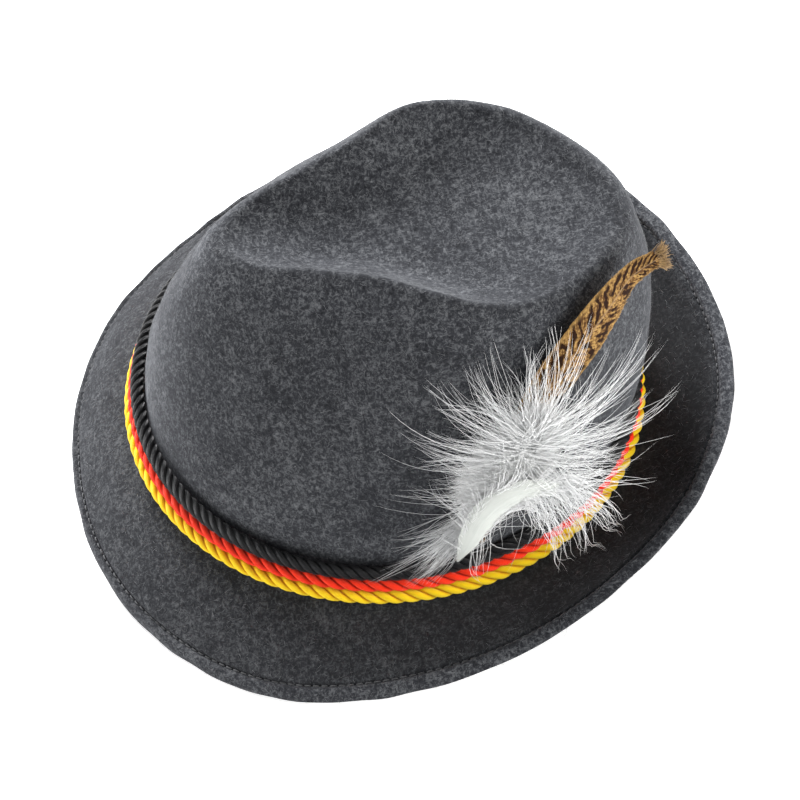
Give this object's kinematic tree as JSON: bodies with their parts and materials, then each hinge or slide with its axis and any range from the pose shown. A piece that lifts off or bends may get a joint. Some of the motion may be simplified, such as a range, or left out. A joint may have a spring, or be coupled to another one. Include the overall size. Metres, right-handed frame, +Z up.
{
  "type": "tyrolean hat",
  "caption": "Grey felt tyrolean hat with a pinched, dished crown, a dipped brim with a turned-up back, twisted cords round the crown and a feather plume",
  "frame": {"origin": "on the resting plane, under the middle of the hat's box", "axes": "+Z up, front of the hat towards -Y, wearer's left and the plume towards +X"},
  "size_m": [0.2668, 0.2699, 0.1279],
  "materials": {
    "felt": "pressed melange wool felt, matt, short fibres",
    "cord_black": "twisted satin cord",
    "cord_red": "twisted satin cord",
    "cord_yellow": "twisted satin cord",
    "barred_feather": "barred feather, soft sheen",
    "white_vane": "plain white feather vane",
    "white_down": "loose white down"
  },
  "bodies": {
    "root": {"felt_body": "felt", "cord_black": "cord_black", "cord_red": "cord_red", "cord_yellow": "cord_yellow", "barred_feather": "barred_feather", "white_vane": "white_vane", "plume_fluff": "white_down"}
  },
  "joints": []
}
